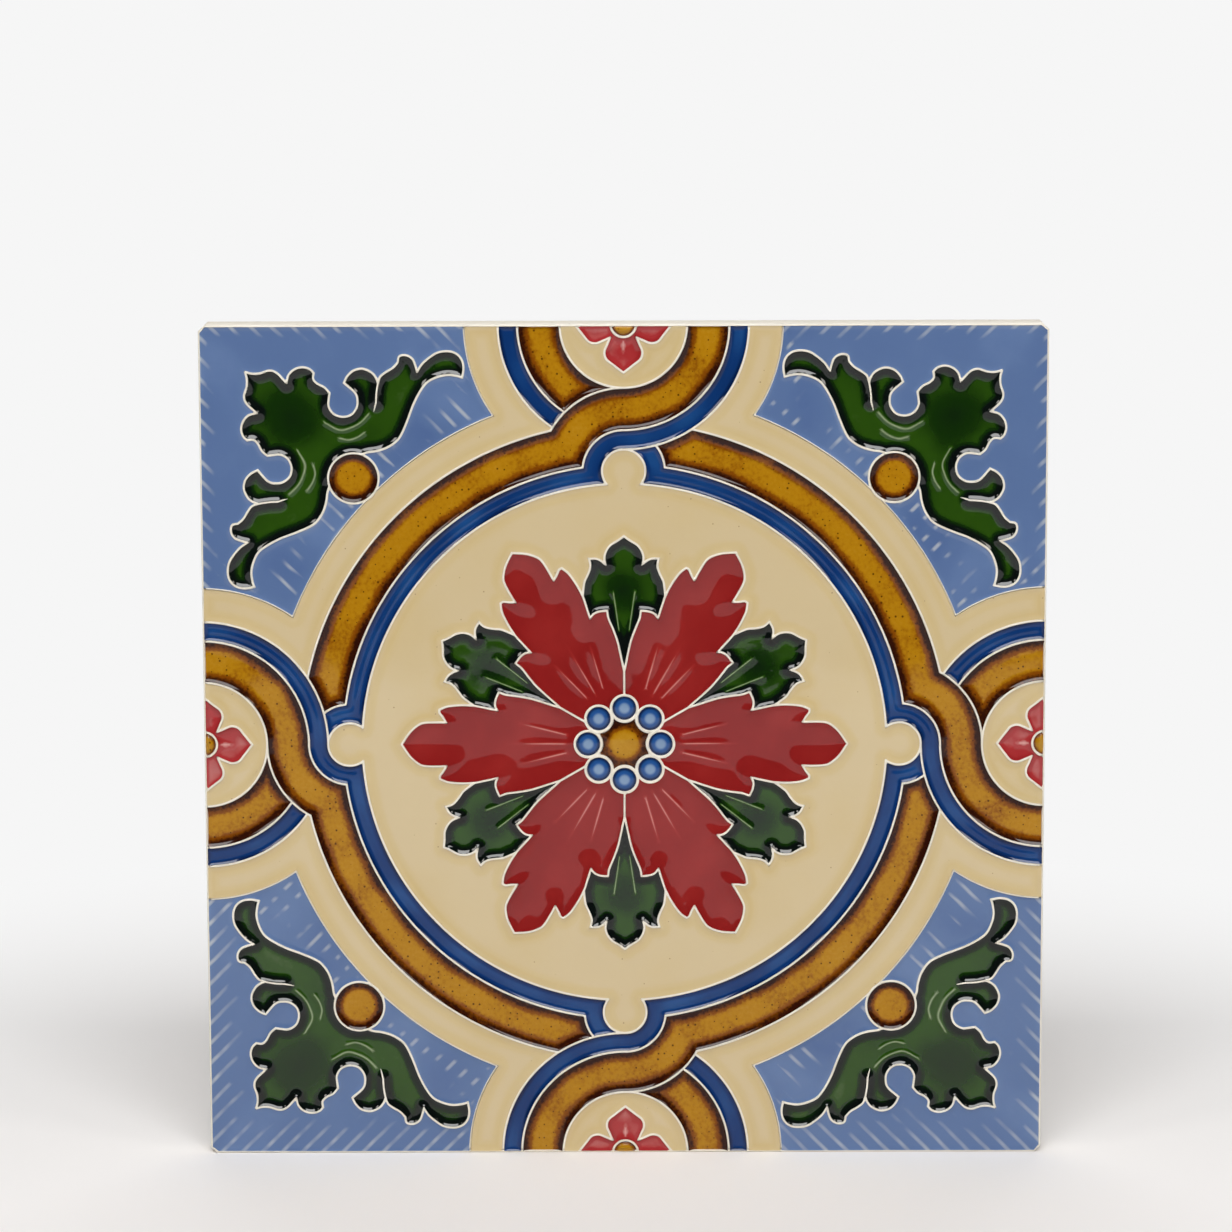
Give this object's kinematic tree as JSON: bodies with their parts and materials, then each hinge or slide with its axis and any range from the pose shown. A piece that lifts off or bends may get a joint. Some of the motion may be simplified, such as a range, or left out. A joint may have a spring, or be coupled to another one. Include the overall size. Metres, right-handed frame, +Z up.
{
  "type": "relief wall tile",
  "caption": "Square relief-moulded ceramic wall tile with raised lines that wall pools of coloured glaze, and a keyed back.",
  "frame": {"origin": "middle of the lower edge, halfway through the depth, with the tile stood upright", "axes": "+X to the right along the lower edge, +Y out of the back (the bedding face), +Z up; the glazed face looks towards -Y"},
  "size_m": [0.1524, 0.0104, 0.1524],
  "materials": {
    "biscuit": "satin",
    "amber_glaze": "gloss",
    "dark_blue_glaze": "gloss",
    "light_blue_glaze": "gloss",
    "cream_glaze": "gloss",
    "red_glaze": "gloss",
    "green_glaze": "gloss"
  },
  "bodies": {
    "root": {"tile_body": "biscuit", "long_amber_band_1": "amber_glaze", "long_amber_band_2": "amber_glaze", "long_amber_band_3": "amber_glaze", "long_amber_band_4": "amber_glaze", "short_amber_band_1": "amber_glaze", "short_amber_band_2": "amber_glaze", "short_amber_band_3": "amber_glaze", "short_amber_band_4": "amber_glaze", "long_blue_stripe_1": "dark_blue_glaze", "long_blue_stripe_2": "dark_blue_glaze", "long_blue_stripe_3": "dark_blue_glaze", "long_blue_stripe_4": "dark_blue_glaze", "short_blue_stripe_1": "dark_blue_glaze", "short_blue_stripe_2": "dark_blue_glaze", "short_blue_stripe_3": "dark_blue_glaze", "short_blue_stripe_4": "dark_blue_glaze", "cream_band_1": "cream_glaze", "cream_band_2": "cream_glaze", "cream_band_3": "cream_glaze", "cream_band_4": "cream_glaze", "corner_ground_1": "light_blue_glaze", "corner_ground_2": "light_blue_glaze", "corner_ground_3": "light_blue_glaze", "corner_ground_4": "light_blue_glaze", "corner_leaf_1": "green_glaze", "corner_leaf_2": "green_glaze", "corner_leaf_3": "green_glaze", "corner_leaf_4": "green_glaze", "edge_disc_1": "cream_glaze", "edge_disc_2": "cream_glaze", "edge_disc_3": "cream_glaze", "edge_disc_4": "cream_glaze", "edge_flower_1": "red_glaze", "edge_flower_2": "red_glaze", "edge_flower_3": "red_glaze", "edge_flower_4": "red_glaze", "flower_ground": "cream_glaze", "sepal_1": "green_glaze", "sepal_2": "green_glaze", "sepal_3": "green_glaze", "sepal_4": "green_glaze", "sepal_5": "green_glaze", "sepal_6": "green_glaze", "petal_1": "red_glaze", "petal_2": "red_glaze", "petal_3": "red_glaze", "petal_4": "red_glaze", "petal_5": "red_glaze", "petal_6": "red_glaze", "eye": "amber_glaze", "bead_1": "dark_blue_glaze", "bead_2": "dark_blue_glaze", "bead_3": "dark_blue_glaze", "bead_4": "dark_blue_glaze", "bead_5": "dark_blue_glaze", "bead_6": "dark_blue_glaze", "bead_7": "dark_blue_glaze", "bead_8": "dark_blue_glaze"}
  },
  "joints": []
}
